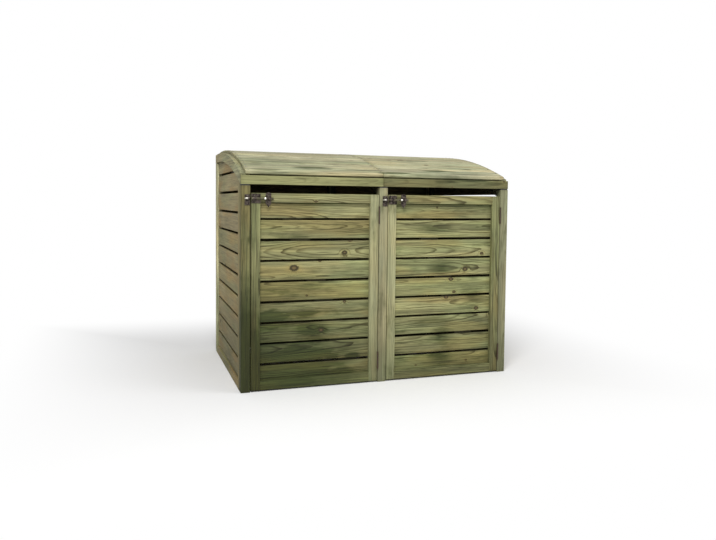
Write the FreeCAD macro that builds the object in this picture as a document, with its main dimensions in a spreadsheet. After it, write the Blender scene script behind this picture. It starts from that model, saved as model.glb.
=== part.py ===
import FreeCAD
import Part
import math
import os
import re

from FreeCAD import Placement, Rotation, Vector

# Twin wheelie bin store in softwood: slatted sides and rear, two slatted doors and two curved lids.
# Row frame: +X to the right seen from the front, -Y towards the front, +Z up, origin on the ground
# under the centre of the overall box. All sizes are in millimetres.

doc = FreeCAD.newDocument("wheelie_bin_store")
sheet = doc.addObject("Spreadsheet::Sheet", "Sizes")

SIZES = {
    # overall
    "store_width": 1500,
    "store_depth": 1000,
    "front_post_height": 1032,
    # posts and side panels
    "post_size": 46,
    "side_stile_width": 46,
    "side_bottom_rail_height": 43,
    "side_recess": 10,
    "side_slat_thick": 16,
    "side_slat_width": 95,
    "side_slat_gap": 12.4,
    "right_slat_gap": 12,
    "side_fixing_width": 46,
    # rear panel
    "rear_slat_thick": 16,
    "rear_slat_width": 97.5,
    "rear_slat_gap": 0.3,
    "rear_ground_gap": 10,
    "rear_rail_height": 46,
    "rear_rail_thick": 22,
    # roof curve and lids
    "roof_radius": 2550,
    "crest_back": 880,
    "lid_rise": 228,
    "roof_board_thick": 18,
    "roof_board_width": 91,
    "roof_board_gap": 1.5,
    "roof_board_inset": 24,
    "roof_board_setback": 4,
    "roof_seat_gap": 0.2,
    "rib_width": 46,
    "rib_depth": 50,
    "lid_seam": 2,
    "lid_rest_gap": 0.3,
    "lid_side_gap": 2,
    "fascia_slot": 1.4,
    "fascia_thick": 20,
    "fascia_gap": 7,
    "post_pad_inset": 2,
    "rest_rail_depth": 46,
    "lid_rail_thick": 22,
    # doors
    "door_side_gap": 4,
    "door_ground_gap": 8,
    "door_top_drop": 36,
    "door_batten_width": 46,
    "door_batten_thick": 20,
    "door_slat_thick": 16,
    "door_slat_width": 95,
    "door_slat_gap": 10,
    "door_slat_inset": 10,
    "door_slat_low_lap": 22,
    "door_slat_high_lap": 16,
    "brace_width": 95,
    "brace_thick": 16,
    "brace_end_gap": 45,
    "brace_foot_inset": 125,
    "brace_head_inset": 180,
    # butt hinges
    "pin_radius": 2,
    "pin_clearance": 0.05,
    "pin_head_radius": 3.2,
    "pin_head_height": 1.5,
    "knuckle_radius": 4,
    "knuckle_gap": 0.3,
    "knuckle_count": 5,
    "pin_out": 4.5,
    "leaf_thick": 1.7,
    "leaf_width": 18,
    "door_hinge_length": 90,
    "door_hinge_top_drop": 108,
    "door_hinge_low_rise": 110,
    "lid_hinge_length": 76,
    "lid_hinge_inset": 170,
    "lid_pin_up": 1,
    # door bolts
    "bolt_radius": 6,
    "bolt_clearance": 0.3,
    "bolt_wall": 3.2,
    "bolt_drop": 27,
    "bolt_out": 9.5,
    "bolt_length": 109,
    "bolt_tip_back": 0.5,
    "knob_back": 66,
    "knob_reach": 30,
    "knob_radius": 6.5,
    "knob_neck_radius": 4,
    "plate_thick": 2.5,
    "keep_width": 26,
    "keep_height": 54,
    "keep_drop": 7,
    "keep_edge": 2,
    "keep_bridge": 22,
    "latch_guide_back": 1,
    "latch_guide_width": 46,
    "latch_guide_lead": 5,
    "latch_guide_height": 47,
    "latch_guide_bridge": 18,
    "tail_guide_back": 72,
    "tail_guide_width": 28,
    "tail_guide_height": 50,
    "tail_guide_bridge": 22,
    "tail_low_tip": 18,
    "tail_high_tip": 8,
    # screws
    "screw_head_radius": 3.6,
    "screw_radius": 2,
    "screw_length": 18,
    "screw_clearance": 0.1,
    "hinge_screw_spacing": 30,
    "plate_screw_gap": 0.5,
    "rail_screw_length": 30,
    # timber finish
    "edge_round": 1.5,
}

for row, (alias, value) in enumerate(SIZES.items(), start=1):
    sheet.set(f"A{row}", alias)
    sheet.set(f"B{row}", str(value))
    sheet.setAlias(f"B{row}", alias)
doc.recompute()

ALIAS = re.compile(r"\b(" + "|".join(sorted(SIZES, key=len, reverse=True)) + r")\b")


def formula(text):
    """Expression with each size name pointing at its cell."""
    return ALIAS.sub(r"Sizes.\1", str(text))


def number(text):
    """Value of an expression now."""
    return float(sheet.evalExpression(formula(text)))


def bind(obj, **properties):
    """Tie properties of an object to expressions; x, y and z are its base point."""
    for name, text in properties.items():
        path = f"Placement.Base.{name}" if name in "xyz" else name
        obj.setExpression(path, formula(text))
    return obj


def box(name, x, y, z, length, width, height):
    obj = doc.addObject("Part::Box", name)
    return bind(obj, x=x, y=y, z=z, Length=length, Width=width, Height=height)


AXIS_TURN = {
    "X": Rotation(Vector(0, 1, 0), 90),
    "Y": Rotation(Vector(1, 0, 0), 90),
    "Z": Rotation(),
}


def rod(name, axis, x, y, z, radius, length):
    """Cylinder from a base point along +X, -Y or +Z."""
    obj = doc.addObject("Part::Cylinder", name)
    obj.Placement = Placement(Vector(), AXIS_TURN[axis])
    return bind(obj, x=x, y=y, z=z, Radius=radius, Height=length)


def cut(name, base, tool):
    obj = doc.addObject("Part::Cut", name)
    obj.Base = base
    obj.Tool = tool
    return obj


def common(name, base, tool):
    obj = doc.addObject("Part::Common", name)
    obj.Base = base
    obj.Tool = tool
    return obj


def fuse(name, pieces):
    obj = doc.addObject("Part::MultiFuse", name)
    obj.Shapes = pieces
    return obj


def group(name, pieces):
    obj = doc.addObject("Part::Compound", name)
    obj.Links = pieces
    return obj


def rounded(name, base):
    """Ease every edge of a sawn board or batten."""
    doc.recompute()
    radius = number("edge_round")
    obj = doc.addObject("Part::Fillet", name)
    obj.Base = base
    obj.Edges = [(index, radius, radius) for index in range(1, len(base.Shape.Edges) + 1)]
    return obj


def board(name, x, y, z, length, width, height):
    return rounded(name, box(name + "_blank", x, y, z, length, width, height))


nodes = {}


def node(name, obj):
    """File an object under its node name."""
    obj.Label = name
    nodes[name] = obj
    return obj


# Places shared by several pieces, written once.
half_width = "(store_width / 2)"
front = "(knob_reach - (store_depth + pin_out + knuckle_radius + knob_reach) / 2)"
roof_y = f"({front} + crest_back)"
crest_height = "(front_post_height + lid_rise)"
roof_z = f"({crest_height} - roof_radius)"
fascia_low = "(front_post_height + fascia_gap)"
rib_top_radius = "(roof_radius - roof_board_thick - roof_seat_gap)"
rib_low_radius = f"({rib_top_radius} - rib_depth)"
rest_top_radius = f"({rib_low_radius} - lid_rest_gap)"
rest_low_radius = f"({rest_top_radius} - rest_rail_depth)"
panel_top_radius = f"({rib_low_radius} - lid_side_gap)"
side_inside = "(post_size - side_recess - side_slat_thick)"
rear_post_front = "(store_depth - rear_slat_thick - post_size)"
door_top = "(front_post_height - door_top_drop)"
door_width = "(store_width / 2 - 1.5 * post_size - 2 * door_side_gap)"


def depth(distance):
    """Y of a point this far behind the front faces."""
    return f"({front} + {distance})"


def arc_z(radius, distance):
    """Height of a roof circle this far behind the front faces."""
    return f"({roof_z} + sqrt({radius}^2 - (crest_back - ({distance}))^2))"


def roof_disc(name, x, length, radius):
    """Solid under one of the roof circles, lying along X."""
    return rod(name, "X", x, roof_y, roof_z, radius, length)


def curved_bar(name, x, width, outer, inner, start, end, lowest):
    """Bar sawn to the roof curve, between two depths and above a lowest height."""
    ring = cut(name + "_ring", roof_disc(name + "_outer", x, width, outer),
               roof_disc(name + "_inner", x, width, inner))
    window = box(name + "_window", x, depth(start), lowest, width, f"({end}) - ({start})",
                 f"{crest_height} - {lowest}")
    return common(name, ring, window)


def under_curve(name, blank, x, width, radius):
    """Top of a blank sawn to a roof circle."""
    return common(name, blank, roof_disc(name + "_curve", x, width, radius))


rear_top = arc_z(panel_top_radius, "store_depth")


# Screws are turned once each at their place: a countersunk head and a shank.
DIRECTIONS = {"+X": Vector(1, 0, 0), "-X": Vector(-1, 0, 0), "+Y": Vector(0, 1, 0), "-Y": Vector(0, -1, 0)}


def screw_shape(spot, grow):
    """One screw driven from the spot along its direction; grow makes its hole."""
    x, y, z, direction, reach = spot
    start = Vector(number(x), number(y), number(z))
    head = number("screw_head_radius") + grow
    shank = number("screw_radius") + grow
    sink = number("leaf_thick")
    length = number(reach) + grow
    way = DIRECTIONS[direction]
    cone = Part.makeCone(head, shank, sink, start, way)
    return cone.fuse(Part.makeCylinder(shank, length, start, way)).removeSplitter()


def screws(name, spots):
    """All screws of one body as separate solids."""
    obj = doc.addObject("Part::Feature", name)
    obj.Shape = Part.makeCompound([screw_shape(spot, 0) for spot in spots])
    return obj


def drilled(name, base, spots):
    """Piece with a hole for each screw that enters it."""
    holes = doc.addObject("Part::Feature", name + "_holes")
    grow = number("screw_clearance")
    holes.Shape = Part.makeCompound([screw_shape(spot, grow) for spot in spots])
    return cut(name, base, holes)


# Hinge places: one entry for each hinge with its pin's middle.
door_pin_y = f"({front} - pin_out)"
door_hinge_heights = [f"({door_top} - door_hinge_top_drop)", "(door_hinge_low_rise + door_ground_gap)"]
lid_pin_y = depth("store_depth + pin_out")
lid_pin_z = f"({rear_top} + lid_pin_up)"
DOORS = {"left": -1, "right": 1}


def door_left_edge(side):
    """X of a door's latch edge."""
    if side == "left":
        return f"(post_size + door_side_gap - {half_width})"
    return "(post_size / 2 + door_side_gap)"


def door_pin_x(side):
    return f"({door_left_edge(side)} + {door_width} + door_side_gap / 2)"


def lid_hinge_spots(side):
    sign = DOORS[side]
    outer = f"({sign} * ({half_width} - lid_hinge_inset))"
    inner = f"({sign} * lid_hinge_inset)"
    return [outer, inner]


leaf_middle = "((pin_out + leaf_width + pin_out) / 2)"


def leaf_screw_heights(middle):
    return [f"({middle} + {step} * hinge_screw_spacing)" for step in (-1, 0, 1)]


def door_leaf_screws(side, leaf):
    """Screws of a door's hinge leaves, into the post or into the door's stile."""
    offset = "(door_side_gap / 2 - leaf_thick)"
    sign, way = ("+", "+X") if leaf == "post" else ("-", "-X")
    x = f"({door_pin_x(side)} {sign} {offset})"
    y = f"({door_pin_y} + {leaf_middle})"
    return [(x, y, z, way, "screw_length")
            for middle in door_hinge_heights for z in leaf_screw_heights(middle)]


def lid_leaf_screws(side, leaf):
    """Screws of a lid's hinge leaves, into the lid's rear rail or into the rear panel."""
    y = depth("store_depth + leaf_thick")
    sign = "+" if leaf == "lid" else "-"
    z = f"({lid_pin_z} {sign} {leaf_middle})"
    reach = "screw_length" if leaf == "lid" else "rail_screw_length"
    return [(x, y, z, "-Y", reach) for middle in lid_hinge_spots(side)
            for x in (f"({middle} + {step} * hinge_screw_spacing * 0.8)" for step in (-1, 0, 1))]


bolt_z = f"({door_top} - bolt_drop)"
bridge_radius = "(bolt_radius + bolt_clearance + bolt_wall)"
plate_face = f"({front} - plate_thick)"


def keep_left(side):
    return f"({door_left_edge(side)} - door_side_gap - keep_edge - keep_width)"


def plate_screws(x):
    """Two screws through a bolt plate, one above its saddle and one below."""
    away = f"({bridge_radius} + screw_head_radius + plate_screw_gap)"
    return [(x, plate_face, f"({bolt_z} {sign} {away})", "+Y", "screw_length") for sign in "-+"]


def keep_screws(side):
    return plate_screws(f"({keep_left(side)} + keep_width / 2)")


def guide_screws(side):
    edge = door_left_edge(side)
    return (plate_screws(f"({edge} + latch_guide_back + latch_guide_lead + latch_guide_bridge / 2)")
            + plate_screws(f"({edge} + tail_guide_back + tail_guide_width / 2)"))


# Posts: three at the front, three at the rear.
POSTS = {"left": f"(-{half_width})", "centre": "(-post_size / 2)", "right": f"({half_width} - post_size)"}
post_spots = {
    "left": keep_screws("left"),
    "centre": keep_screws("right") + door_leaf_screws("left", "post"),
    "right": door_leaf_screws("right", "post"),
}
for place, x in POSTS.items():
    name = f"front_post_{place}"
    timber = board(name + "_timber", x, front, 0, "post_size", "post_size", "front_post_height")
    node(name, drilled(name, timber, post_spots[place]))
    name = f"rear_post_{place}"
    node(name, board(name, x, depth(rear_post_front), 0, "post_size", "post_size", rear_top))


def side_start(side, inset, thickness):
    """X of a layer of a side panel that lies this far in from the store's side."""
    if side == "left":
        return f"({inset} - {half_width})"
    return f"({half_width} - ({inset}) - ({thickness}))"


# Rubber pads on the front posts, which the lids close down on.
pad_width = "(post_size - 2 * post_pad_inset)"
pads = [box(f"post_pad_{place}", f"({x} + post_pad_inset)", depth("post_pad_inset"), "front_post_height",
            pad_width, pad_width, "fascia_gap - lid_rest_gap") for place, x in POSTS.items()]
node("post_pads", group("post_pads", pads))


# Side panels: slats sawn to the curve that run back from the front post, a stile over their front
# ends, a bottom rail under them and a batten inside that their rear ends are nailed to.
side_depth = f"({rear_post_front} - post_size)"
flush_thick = "(side_recess + side_slat_thick)"
SLAT_GAPS = {"left": "side_slat_gap", "right": "right_slat_gap"}


def side_slat_count(gap):
    """Slats up to the last one that still shows a useful height under the curve."""
    top = number(f"{roof_z} + {panel_top_radius}")
    clear = top - number("side_bottom_rail_height") - number(gap)
    return max(1, math.ceil(clear / number(f"side_slat_width + {gap}")))


def side_panel(side):
    x = side_start(side, 0, "side_recess")
    name = f"{side}_front_stile"
    blank = box(name + "_blank", x, depth("post_size"), 0, "side_recess", "side_stile_width", crest_height)
    node(name, under_curve(name, blank, x, "side_recess", panel_top_radius))

    name = f"{side}_bottom_rail"
    notch = box(name + "_notch", x, depth("post_size"), 0, "side_recess", "side_stile_width",
                "side_bottom_rail_height")
    rail = board(name + "_board", side_start(side, 0, flush_thick), depth("post_size"), 0, flush_thick,
                 side_depth, "side_bottom_rail_height")
    node(name, cut(name, rail, notch))

    x = side_start(side, "side_recess", "side_slat_thick")
    slats = []
    for index in range(side_slat_count(SLAT_GAPS[side])):
        name = f"{side}_side_slat_{index + 1}"
        z = f"(side_bottom_rail_height + {index} * (side_slat_width + {SLAT_GAPS[side]}))"
        blank = board(name + "_board", x, depth("post_size"), z, "side_slat_thick", side_depth,
                      "side_slat_width")
        high = number(f"{z} + side_slat_width") > number(arc_z(panel_top_radius, "post_size"))
        slats.append(under_curve(name, blank, x, "side_slat_thick", panel_top_radius) if high else blank)
    node(f"{side}_side_slats", group(f"{side}_side_slats", slats))

    x = side_start(side, flush_thick, side_inside)
    name = f"{side}_fixing"
    start = depth(f"{rear_post_front} - side_fixing_width")
    blank = box(name + "_blank", x, start, 0, side_inside, "side_fixing_width", crest_height)
    return under_curve(name, blank, x, side_inside, rest_low_radius)


def lid_rest(name, x, width):
    """Curved rail between the front and rear posts that a lid's ribs come down on."""
    return curved_bar(name, x, width, rest_top_radius, rest_low_radius, "post_size", rear_post_front, 0)


fixing_battens = [side_panel(side) for side in DOORS]
node("side_fixing_battens", group("side_fixing_battens", fixing_battens))
side_rests = [lid_rest(f"{side}_lid_rest", side_start(side, flush_thick, side_inside), side_inside)
              for side in DOORS]
node("side_lid_rests", group("side_lid_rests", side_rests))
node("centre_lid_rest", lid_rest("centre_lid_rest", "(-post_size / 2)", "post_size"))


# Rear panel: close boards nailed over the backs of the rear posts, and a top and a bottom rail
# in each bay.
rear_span = f"({rear_top} - rear_ground_gap)"


def fitted_gap(span, width, gap):
    """Count of boards that fill a span, and the gap that is left between them."""
    count = max(2, round((number(span) + number(gap)) / (number(width) + number(gap))))
    return count, f"(({span} - {count} * {width}) / {count - 1})"


def ripped_width(span, width, gap):
    """Count of close boards that fill a span, and the width that they are ripped to."""
    count = max(2, round((number(span) + number(gap)) / (number(width) + number(gap))))
    return count, f"(({span} - {count - 1} * {gap}) / {count})"


rear_count, rear_width = ripped_width(rear_span, "rear_slat_width", "rear_slat_gap")
rear_slats = []
rear_holes = lid_leaf_screws("left", "rail") + lid_leaf_screws("right", "rail")
for index in range(rear_count):
    name = f"rear_slat_{index + 1}"
    z = f"(rear_ground_gap + {index} * ({rear_width} + rear_slat_gap))"
    slat = board(name, f"(-{half_width})", depth("store_depth - rear_slat_thick"), z, "store_width",
                 "rear_slat_thick", rear_width)
    if index == rear_count - 1:
        slat = drilled(name + "_drilled", slat, rear_holes)
    rear_slats.append(slat)
node("rear_slats", group("rear_slats", rear_slats))

bay_width = f"({half_width} - 1.5 * post_size)"
BAYS = {"left": f"(post_size - {half_width})", "right": "(post_size / 2)"}
rear_rails = []
for side, x in BAYS.items():
    for place, z in (("top", f"({rear_top} - rear_rail_height)"), ("bottom", "rear_ground_gap")):
        name = f"rear_{place}_rail_{side}"
        rail = board(name, x, depth("store_depth - rear_slat_thick - rear_rail_thick"), z, bay_width,
                     "rear_rail_thick", "rear_rail_height")
        if place == "top":
            rail = drilled(name + "_drilled", rail, lid_leaf_screws(side, "rail"))
        rear_rails.append(rail)
node("rear_rails", group("rear_rails", rear_rails))


# Doors: two stiles with rails between them, slats nailed across behind, and a brace over their
# backs that climbs from the hinge side to the latch side.
frame_back = depth("door_batten_thick")
opening_height = f"({door_top} - door_ground_gap - 2 * door_batten_width)"
door_span = f"({opening_height} + door_slat_low_lap + door_slat_high_lap)"
door_count, door_gap = fitted_gap(door_span, "door_slat_width", "door_slat_gap")


def door(side):
    left = door_left_edge(side)
    right = f"({left} + {door_width} - door_batten_width)"
    inner = f"({door_width} - 2 * door_batten_width)"
    height = f"({door_top} - door_ground_gap)"
    stiles = {"latch": (left, guide_screws(side)), "hinge": (right, door_leaf_screws(side, "door"))}
    rail_holes = guide_screws(side)[2:]
    for place, (x, spots) in stiles.items():
        name = f"door_{side}_{place}_stile"
        timber = board(name + "_timber", x, front, "door_ground_gap", "door_batten_width",
                       "door_batten_thick", height)
        node(name, drilled(name, timber, spots))
    for place, z in (("top", f"({door_top} - door_batten_width)"), ("bottom", "door_ground_gap")):
        name = f"door_{side}_{place}_rail"
        x = f"({left} + door_batten_width)"
        rail = board(name + "_timber", x, front, z, inner, "door_batten_thick", "door_batten_width")
        node(name, drilled(name, rail, rail_holes) if place == "top" else rail)
    slats = []
    for index in range(door_count):
        z = (f"(door_ground_gap + door_batten_width - door_slat_low_lap"
             f" + {index} * (door_slat_width + {door_gap}))")
        slats.append(board(f"door_{side}_slat_{index + 1}", f"({left} + door_slat_inset)", frame_back, z,
                           f"({door_width} - 2 * door_slat_inset)", "door_slat_thick", "door_slat_width"))
    node(f"door_{side}_slats", group(f"door_{side}_slats", slats))
    node(f"door_{side}_brace", brace(f"door_{side}_brace", left))


def brace(name, left):
    """Sloping board behind the slats, its ends sawn level."""
    foot_z = "(door_ground_gap + brace_end_gap)"
    head_z = f"({door_top} - brace_end_gap)"
    head_x = f"({left} + brace_head_inset)"
    across = f"({door_width} - brace_foot_inset - brace_head_inset)"
    rise = f"({head_z} - {foot_z})"
    angle = f"atan({rise} / {across})"
    back = f"({frame_back} + door_slat_thick)"
    x = f"({head_x} - brace_width * cos({angle}) - brace_width / 2 * sin({angle}))"
    z = f"({head_z} + brace_width * sin({angle}) - brace_width / 2 * cos({angle}))"
    blank = doc.addObject("Part::Box", name + "_blank")
    bind(blank, Length=f"sqrt({across} ^ 2 + {rise} ^ 2) + 2 * brace_width", Width="brace_thick",
         Height="brace_width")
    blank.setExpression("Placement", formula(
        f"placement(vector({x}; {back}; {z}); rotation(vector(0; 1; 0); {angle}))"))
    level = box(name + "_level", left, back, foot_z, door_width, "brace_thick", rise)
    return rounded(name, common(name + "_sawn", blank, level))


for side in DOORS:
    door(side)


# Butt hinges. A leaf is drawn about its pin, which stands on Z at the origin: the plate lies beside
# the pin at a given distance and the knuckles take every second place along the pin.
def hinge_leaf(name, length, first, offset, way, spots_on_plate):
    """Leaf with a plate at X = offset that runs along +Y or -Y."""
    pitch = f"(({length} + knuckle_gap) / knuckle_count)"
    start = "pin_out" if way > 0 else "(-pin_out - leaf_width)"
    pieces = [box(name + "_plate", offset, start, f"(-{length} / 2)", "leaf_thick", "leaf_width", length)]
    bores = []
    for index in range(first, int(number("knuckle_count")), 2):
        z = f"({index} * {pitch} - {length} / 2)"
        tall = f"({pitch} - knuckle_gap)"
        pieces.append(rod(f"{name}_knuckle_{index}", "Z", 0, 0, z, "knuckle_radius", tall))
        web = 0 if way > 0 else "(-pin_out)"
        pieces.append(box(f"{name}_web_{index}", offset, web, z, "leaf_thick", "pin_out", tall))
    bores.append(rod(name + "_bore", "Z", 0, 0, f"(-{length} / 2)", "pin_radius + pin_clearance", length))
    body = cut(name + "_bored", fuse(name + "_fused", pieces), bores[0])
    holes = doc.addObject("Part::Feature", name + "_holes")
    holes.Shape = Part.makeCompound([screw_shape(spot, number("screw_clearance")) for spot in spots_on_plate])
    return cut(name, body, holes)


def placed(name, base, x, y, z, turn):
    """Copy of a piece at its place on the store."""
    obj = doc.addObject("Part::Compound", name)
    obj.Links = [base]
    obj.Placement = Placement(Vector(), turn)
    return bind(obj, x=x, y=y, z=z)


def plate_spots(offset, way, direction, spacing):
    """Screw places on a leaf drawn about its pin."""
    y = f"({way} * {leaf_middle})"
    x = offset if direction == "+X" else f"({offset} + leaf_thick)"
    return [(x, y, f"({step} * {spacing})", direction, "screw_length") for step in (-1, 0, 1)]


# A door hinge closes face to face in the gap, so its leaves lie one each side of the pin.
post_offset = "(door_side_gap / 2 - leaf_thick)"
door_offset = "(-door_side_gap / 2)"
post_leaf = hinge_leaf("post_leaf", "door_hinge_length", 0, post_offset, 1,
                       plate_spots(post_offset, 1, "+X", "hinge_screw_spacing"))
door_leaf = hinge_leaf("door_leaf", "door_hinge_length", 1, door_offset, 1,
                       plate_spots(door_offset, 1, "-X", "hinge_screw_spacing"))

# A lid hinge lies flat on the rear face, one leaf above the pin and one below. Turned over onto
# the rear, its X becomes the way out of the wall and its Y the way up.
lid_turn = Rotation(Vector(0, 1, 0), Vector(0, 0, 1), Vector(1, 0, 0), "ZXY")
flat_offset = "(-pin_out)"
rail_leaf = hinge_leaf("rail_leaf", "lid_hinge_length", 0, flat_offset, -1,
                       plate_spots(flat_offset, -1, "-X", "hinge_screw_spacing * 0.8"))
lid_leaf = hinge_leaf("lid_leaf", "lid_hinge_length", 1, flat_offset, 1,
                      plate_spots(flat_offset, 1, "-X", "hinge_screw_spacing * 0.8"))


def hinge_pin(name, length):
    """Pin with a flat head on top, about the same origin as the leaves."""
    shank = rod(name + "_shank", "Z", 0, 0, f"(-{length} / 2)", "pin_radius", length)
    head = rod(name + "_head", "Z", 0, 0, f"({length} / 2 + pin_clearance)", "pin_head_radius",
               "pin_head_height")
    neck = rod(name + "_neck", "Z", 0, 0, f"({length} / 2)", "pin_radius", "pin_head_height")
    return fuse(name, [shank, neck, head])


door_pin = hinge_pin("door_pin", "door_hinge_length")
lid_pin = hinge_pin("lid_pin", "lid_hinge_length")


def at_door_hinges(name, base, sides):
    copies = [placed(f"{name}_{side}_{index}", base, door_pin_x(side), door_pin_y, z, Rotation())
              for side in sides for index, z in enumerate(door_hinge_heights)]
    return node(name, group(name, copies))


def at_lid_hinges(name, base, sides):
    copies = [placed(f"{name}_{side}_{index}", base, x, lid_pin_y, lid_pin_z, lid_turn)
              for side in sides for index, x in enumerate(lid_hinge_spots(side))]
    return node(name, group(name, copies))


at_door_hinges("door_hinge_post_leaves", post_leaf, DOORS)
at_door_hinges("door_hinge_pins", door_pin, DOORS)
at_lid_hinges("lid_hinge_rail_leaves", rail_leaf, DOORS)
at_lid_hinges("lid_hinge_pins", lid_pin, DOORS)
for side in DOORS:
    at_door_hinges(f"door_{side}_hinge_leaves", door_leaf, [side])
    at_lid_hinges(f"lid_{side}_hinge_leaves", lid_leaf, [side])


# Bolts: a keep on the post, two guides on the door, and the sliding bolt with its knob.
bolt_y = f"({front} - bolt_out)"


def bridge(name, x, length):
    """Half-round saddle over the bolt, standing on its plate."""
    crown = rod(name + "_crown", "X", x, bolt_y, bolt_z, bridge_radius, length)
    legs = box(name + "_legs", x, bolt_y, f"({bolt_z} - {bridge_radius})", length, "bolt_out - plate_thick",
               f"2 * {bridge_radius}")
    return [crown, legs]


def plate_tip(name, x, z, width, reach, up):
    """Pointed end of a plate, upwards or downwards."""
    wedge = doc.addObject("Part::Wedge", name)
    wedge.Placement = Placement(Vector(), Rotation(Vector(1, 0, 0), 90 if up else -90))
    return bind(wedge, x=x, y=front if up else plate_face, z=z, Xmin=0, Xmax=width, Ymin=0, Ymax=reach,
                Zmin=0, Zmax="plate_thick", X2min=f"{width} / 2", X2max=f"{width} / 2", Z2min=0,
                Z2max="plate_thick")


def bolt_plate(name, x, low, width, height, bridge_length, spots, tips=None, lead=None):
    """Plate with its saddle, bored for the bolt and drilled for its screws. The saddle stands in
    the middle of the plate, or a lead in from its left end."""
    pieces = [box(name + "_plate", x, plate_face, low, width, "plate_thick", height)]
    middle = f"({x} + {lead})" if lead else f"({x} + ({width} - {bridge_length}) / 2)"
    pieces += bridge(name + "_bridge", middle, bridge_length)
    if tips:
        pieces += [plate_tip(name + "_low_tip", x, low, width, tips[0], False),
                   plate_tip(name + "_high_tip", x, f"({low} + {height})", width, tips[1], True)]
    bore = rod(name + "_bore", "X", middle, bolt_y, bolt_z, "bolt_radius + bolt_clearance", bridge_length)
    bored = cut(name + "_bored", fuse(name + "_fused", pieces), bore)
    return drilled(name, bored, spots)


keeps = []
for side in DOORS:
    edge = door_left_edge(side)
    spots = guide_screws(side)
    keeps.append(bolt_plate(f"bolt_keep_{side}", keep_left(side), f"({bolt_z} - keep_height / 2 - keep_drop)",
                            "keep_width", "keep_height", "keep_bridge", keep_screws(side)))
    latch = bolt_plate(f"latch_guide_{side}", f"({edge} + latch_guide_back)",
                       f"({bolt_z} - latch_guide_height / 2)", "latch_guide_width", "latch_guide_height",
                       "latch_guide_bridge", spots[:2], lead="latch_guide_lead")
    tail = bolt_plate(f"tail_guide_{side}", f"({edge} + tail_guide_back)",
                      f"({bolt_z} - tail_guide_height / 2)", "tail_guide_width", "tail_guide_height",
                      "tail_guide_bridge", spots[2:], tips=("tail_low_tip", "tail_high_tip"))
    node(f"door_{side}_bolt_guides", group(f"door_{side}_bolt_guides", [latch, tail]))

    name = f"bolt_{side}"
    knob_x = f"({edge} + knob_back)"
    shaft = rod(name + "_shaft", "X", f"({edge} + bolt_tip_back)", bolt_y, bolt_z, "bolt_radius",
                "bolt_length")
    neck = rod(name + "_neck", "Y", knob_x, bolt_y, bolt_z, "knob_neck_radius",
               "knob_reach - knob_radius - bolt_out")
    ball = doc.addObject("Part::Sphere", name + "_ball")
    bind(ball, x=knob_x, y=f"({front} - knob_reach + knob_radius)", z=bolt_z, Radius="knob_radius")
    node(name, fuse(name, [shaft, neck, ball]))
node("bolt_keeps", group("bolt_keeps", keeps))


# Lids: two curved ribs, a fascia across their front ends, cross rails behind the fascia and at
# the rear, and boards laid over them along the curve.
board_start = "asin((crest_back - roof_board_setback) / roof_radius)"
board_end = "asin((crest_back - store_depth) / roof_radius)"


def lid_boards():
    """Count of roof boards, the angle each takes and its width, all in whole boards."""
    sweep = math.asin((number("crest_back") - number("roof_board_setback")) / number("roof_radius"))
    sweep += math.asin((number("store_depth") - number("crest_back")) / number("roof_radius"))
    length = sweep * number("roof_radius")
    pitch = number("roof_board_width") + number("roof_board_gap")
    return max(2, round((length + number("roof_board_gap")) / pitch))


lid_length = f"({half_width} - lid_seam / 2)"
roof_count = lid_boards()
board_step = f"(({board_start} - {board_end}) / {roof_count})"
fitted_width = f"(2 * roof_radius * tan({board_step} / 2) - roof_board_gap)"


def roof_board(name, index, x, length):
    """Board lying on the ribs, square to the roof's radius at its middle."""
    angle = f"({board_start} - {index + 0.5} * {board_step})"
    y = (f"({roof_y} - roof_radius * sin({angle}) - {fitted_width} / 2 * cos({angle})"
         f" + roof_board_thick * sin({angle}))")
    z = (f"({roof_z} + roof_radius * cos({angle}) - {fitted_width} / 2 * sin({angle})"
         f" - roof_board_thick * cos({angle}))")
    blank = doc.addObject("Part::Box", name + "_blank")
    bind(blank, Length=length, Width=fitted_width, Height="roof_board_thick")
    blank.setExpression("Placement", formula(
        f"placement(vector({x}; {y}; {z}); rotation(vector(1; 0; 0); {angle}))"))
    return rounded(name, blank)


def lid(side):
    outer_left = side == "left"
    low = f"(-{half_width})" if outer_left else "(lid_seam / 2)"
    rib_x = {
        "outer": f"(-{half_width})" if outer_left else f"({half_width} - rib_width)",
        "inner": "(-lid_seam / 2 - rib_width)" if outer_left else "(lid_seam / 2)",
    }
    for place, x in rib_x.items():
        name = f"lid_{side}_{place}_rib"
        node(name, curved_bar(name, x, "rib_width", rib_top_radius, rib_low_radius, "fascia_thick",
                              "store_depth", fascia_low))
    name = f"lid_{side}_fascia"
    node(name, board(name, low, front, fascia_low, lid_length, "fascia_thick",
                     f"({arc_z(rib_top_radius, 0)} - fascia_slot - {fascia_low})"))

    x = f"({rib_x['outer' if outer_left else 'inner']} + rib_width)"
    inside = f"({lid_length} - 2 * rib_width)"
    z = arc_z(rib_low_radius, "store_depth")
    rear = board(f"lid_{side}_rear_rail", x, depth("store_depth - lid_rail_thick"), z, inside,
                 "lid_rail_thick", f"({arc_z(rib_top_radius, 'store_depth')} - {z})")
    rear = drilled(f"lid_{side}_rear_rail_drilled", rear, lid_leaf_screws(side, "lid"))
    fore = board(f"lid_{side}_front_rail", x, depth("fascia_thick"), fascia_low, inside, "lid_rail_thick",
                 f"({arc_z(rib_top_radius, 'fascia_thick')} - {fascia_low})")
    name = f"lid_{side}_cross_rails"
    node(name, group(name, [fore, rear]))

    board_x = f"(roof_board_inset - {half_width})" if outer_left else "(lid_seam / 2)"
    board_length = f"({lid_length} - roof_board_inset)"
    boards = [roof_board(f"lid_{side}_board_{index + 1}", index, board_x, board_length)
              for index in range(roof_count)]
    node(f"lid_{side}_boards", group(f"lid_{side}_boards", boards))


for side in DOORS:
    lid(side)


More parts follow.
